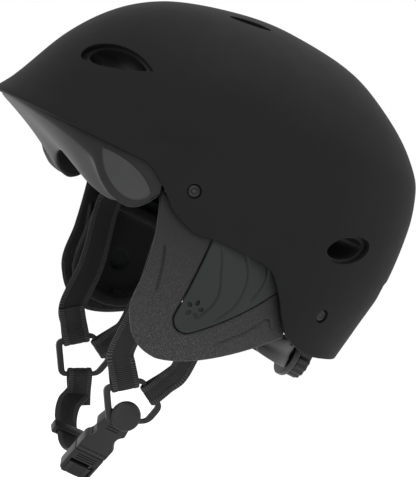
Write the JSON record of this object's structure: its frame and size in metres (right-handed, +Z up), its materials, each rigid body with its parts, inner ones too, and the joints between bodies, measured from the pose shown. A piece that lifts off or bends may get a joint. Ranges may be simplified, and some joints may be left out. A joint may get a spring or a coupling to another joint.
{
  "type": "water helmet",
  "caption": "Short-brimmed hard-shell water sports helmet with foam liner, ear protectors, webbing harness, side-release chin buckle and rear dial cradle.",
  "frame": {"origin": "the point inside the helmet that rests on the crown of the wearer's head", "axes": "+Z up, -X towards the brim, -Y towards the wearer's left"},
  "size_m": [0.2934, 0.2136, 0.3269],
  "materials": {
    "shell": "matte moulded black",
    "foam": "closed-cell foam with a satin skin",
    "inlay": "lighter smooth foam inlay",
    "pad_fabric": "brushed knit over soft foam",
    "grained_plastic": "spark-grained black plastic",
    "smooth_plastic": "smooth grey-green plastic",
    "ear_foam": "soft skinned foam",
    "webbing": "ribbed polypropylene webbing",
    "buckle_plastic": "satin acetal",
    "cradle_plastic": "flexible grey plastic",
    "rivet": "black coated rivet"
  },
  "bodies": {
    "helmet": {"outer_shell": "shell", "foam_liner": "foam", "temple_inlay_left": "inlay", "side_pad_left": "pad_fabric", "ear_cover_left": "grained_plastic", "ear_insert_left": "smooth_plastic", "ear_pad_left": "ear_foam", "front_rivet_left": "rivet", "front_washer_left": "rivet", "front_strap_left": "webbing", "rear_rivet_left": "rivet", "rear_washer_left": "rivet", "rear_strap_left": "webbing", "strap_ring_left": "buckle_plastic", "temple_inlay_right": "inlay", "side_pad_right": "pad_fabric", "ear_cover_right": "grained_plastic", "ear_insert_right": "smooth_plastic", "ear_pad_right": "ear_foam", "front_rivet_right": "rivet", "front_washer_right": "rivet", "front_strap_right": "webbing", "rear_rivet_right": "rivet", "rear_washer_right": "rivet", "rear_strap_right": "webbing", "strap_ring_right": "buckle_plastic", "crown_pad": "pad_fabric", "brow_pad": "pad_fabric", "nape_pad": "pad_fabric", "ring_cap": "buckle_plastic", "buckle_housing": "buckle_plastic", "chin_strap": "webbing"},
    "cradle": {"rear_cradle": "cradle_plastic", "dial_housing": "buckle_plastic"},
    "dial": {"dial_knob": "buckle_plastic"},
    "clip": {"buckle_clip": "buckle_plastic", "clip_web": "webbing"},
    "prong_rear": {"release_prong_rear": "buckle_plastic"},
    "prong_front": {"release_prong_front": "buckle_plastic"},
    "keeper": {"strap_keeper": "buckle_plastic"}
  },
  "joints": [
    {"name": "cradle_tighten", "type": "slide", "parent": "helmet", "child": "cradle", "axis": [-1, 0, 0], "range_m": [0, 0.01]},
    {"name": "dial_turn", "type": "hinge", "parent": "cradle", "child": "dial", "pos_m": [0.115, 0, -0.169], "axis": [1, 0, 0], "range_deg": [0, 360]},
    {"name": "buckle_release", "type": "slide", "parent": "helmet", "child": "clip", "axis": [0, 0.6157, -0.788], "range_m": [0, 0.027]},
    {"name": "prong_rear_squeeze", "type": "hinge", "parent": "clip", "child": "prong_rear", "pos_m": [0.0166, -0.02553, -0.28588], "axis": [0, -0.788, -0.6157], "range_deg": [0, 4], "stiffness_Nm_per_rad": 0.3},
    {"name": "prong_front_squeeze", "type": "hinge", "parent": "clip", "child": "prong_front", "pos_m": [0.0054, -0.02553, -0.28588], "axis": [0, 0.788, 0.6157], "range_deg": [0, 4], "stiffness_Nm_per_rad": 0.3},
    {"name": "keeper_slide", "type": "slide", "parent": "helmet", "child": "keeper", "axis": [-0.1019, 0.8829, 0.4584], "range_m": [-0.005, 0.005]}
  ],
  "couplings": [
    {"joint": "dial_turn", "follows": "cradle_tighten", "rad_per_m": 628}
  ]
}
